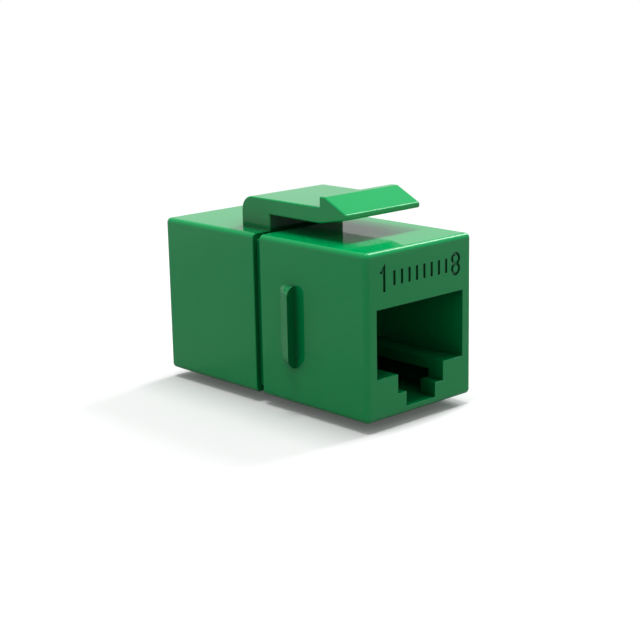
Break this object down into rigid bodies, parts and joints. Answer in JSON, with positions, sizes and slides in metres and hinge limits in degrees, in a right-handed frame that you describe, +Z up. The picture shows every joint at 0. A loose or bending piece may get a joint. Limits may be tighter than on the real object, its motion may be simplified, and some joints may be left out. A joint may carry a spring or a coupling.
{
  "type": "rj45 inline coupler",
  "caption": "Inline coupler with a port at each end and a snap-in latch for a panel cutout, joining two network plugs end to end.",
  "frame": {"origin": "under the middle of the part, on the surface that the lower hook stands on", "axes": "+X across the part, -Y out of the front port, +Y out of the rear port, +Z up to the latch arm"},
  "size_m": [0.0166, 0.0296, 0.0214],
  "materials": {
    "housing": "moulded, glossy green",
    "carrier": "moulded, satin black",
    "board": "laminate with green solder mask",
    "contact": "gold-plated spring strip"
  },
  "bodies": {
    "root": {"front_housing": "housing", "rear_housing": "housing", "circuit_board": "board", "front_contact_carrier": "carrier", "rear_contact_carrier": "carrier", "front_contact_1": "contact", "front_contact_2": "contact", "front_contact_3": "contact", "front_contact_4": "contact", "front_contact_5": "contact", "front_contact_6": "contact", "front_contact_7": "contact", "front_contact_8": "contact", "rear_contact_1": "contact", "rear_contact_2": "contact", "rear_contact_3": "contact", "rear_contact_4": "contact", "rear_contact_5": "contact", "rear_contact_6": "contact", "rear_contact_7": "contact", "rear_contact_8": "contact"}
  },
  "joints": []
}
